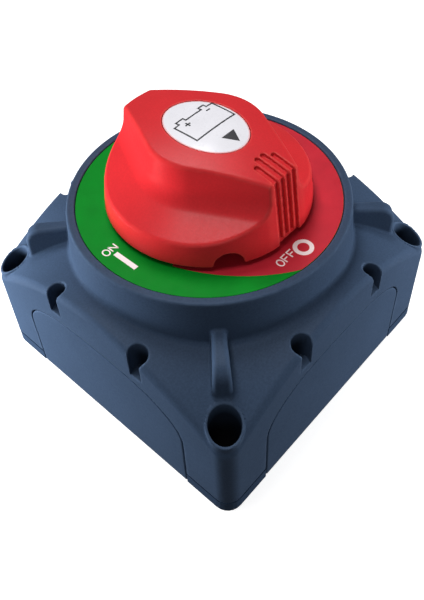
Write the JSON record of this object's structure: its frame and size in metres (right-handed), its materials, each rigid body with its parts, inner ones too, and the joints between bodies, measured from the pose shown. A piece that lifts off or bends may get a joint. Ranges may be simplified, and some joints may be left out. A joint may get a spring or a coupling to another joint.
{
  "type": "battery switch",
  "caption": "Square surface-mount battery isolator switch: winged rotary knob on a round coloured dial, arched slide-in cable panels and threaded stud terminals inside.",
  "frame": {"origin": "centre of the base plate's underside, on the knob's turning axis", "axes": "+Z out of the mounting surface along the knob's axis, -Y towards the dial's OFF mark, -X towards its ON mark"},
  "size_m": [0.069, 0.069, 0.0605],
  "materials": {
    "housing_plastic": "dark blue-grey moulded thermoplastic, fine satin texture",
    "base_plastic": "dark blue-grey moulded thermoplastic",
    "panel_plastic": "dark blue-grey moulded thermoplastic, fine satin texture",
    "dial_label": "printed dial, green and red fields with white marks, semi-gloss film",
    "knob_plastic": "red moulded plastic, satin",
    "sticker_film": null,
    "black_nylon": "black glass-filled nylon",
    "carrier_plastic": "natural glass-filled nylon",
    "seal_rubber": "black nitrile O-ring",
    "block_plastic": "brown heat-resistant thermoset",
    "barrier_plastic": "pale insulating board",
    "bare_copper": "bare copper with bright contact pads",
    "tinned_copper": "tin-plated copper",
    "stainless_steel": "stainless steel, lightly brushed",
    "spring_steel": "bright spring steel"
  },
  "bodies": {
    "body": {"housing": "housing_plastic", "base_plate": "base_plastic", "label_disc": "dial_label", "contact_block": "block_plastic", "terminal_barrier": "barrier_plastic", "stud_left": "tinned_copper", "stud_right": "tinned_copper", "flat_washer_left": "stainless_steel", "flat_washer_right": "stainless_steel", "spring_washer_left": "spring_steel", "spring_washer_right": "spring_steel", "hex_nut_left": "stainless_steel", "hex_nut_right": "stainless_steel", "detent_spring_left": "spring_steel", "detent_spring_right": "spring_steel", "block_screw_1": "stainless_steel", "block_screw_2": "stainless_steel", "block_screw_3": "stainless_steel", "block_screw_4": "stainless_steel", "base_screw_1": "stainless_steel", "base_screw_2": "stainless_steel", "base_screw_3": "stainless_steel", "base_screw_4": "stainless_steel"},
    "rotor": {"knob": "knob_plastic", "knob_label": "sticker_film", "knob_screw": "stainless_steel", "spindle": "black_nylon", "shaft_seal": "seal_rubber", "retaining_ring": "spring_steel", "rotor_carrier": "carrier_plastic", "contact_bridge": "bare_copper", "contact_spring": "spring_steel"},
    "front_panel": {"panel_front": "panel_plastic"},
    "left_panel": {"panel_left": "panel_plastic"},
    "back_panel": {"panel_back": "panel_plastic"},
    "right_panel": {"panel_right": "panel_plastic"}
  },
  "joints": [
    {"name": "knob_turn", "type": "hinge", "parent": "body", "child": "rotor", "pos_m": [0, 0, 0.0437], "axis": [0, 0, 1], "range_deg": [-90, 0]},
    {"name": "front_panel_slide", "type": "slide", "parent": "body", "child": "front_panel", "axis": [0, 0, 1], "range_m": [-0.028, 0]},
    {"name": "left_panel_slide", "type": "slide", "parent": "body", "child": "left_panel", "axis": [0, 0, 1], "range_m": [-0.028, 0]},
    {"name": "back_panel_slide", "type": "slide", "parent": "body", "child": "back_panel", "axis": [0, 0, 1], "range_m": [-0.028, 0]},
    {"name": "right_panel_slide", "type": "slide", "parent": "body", "child": "right_panel", "axis": [0, 0, 1], "range_m": [-0.028, 0]}
  ]
}
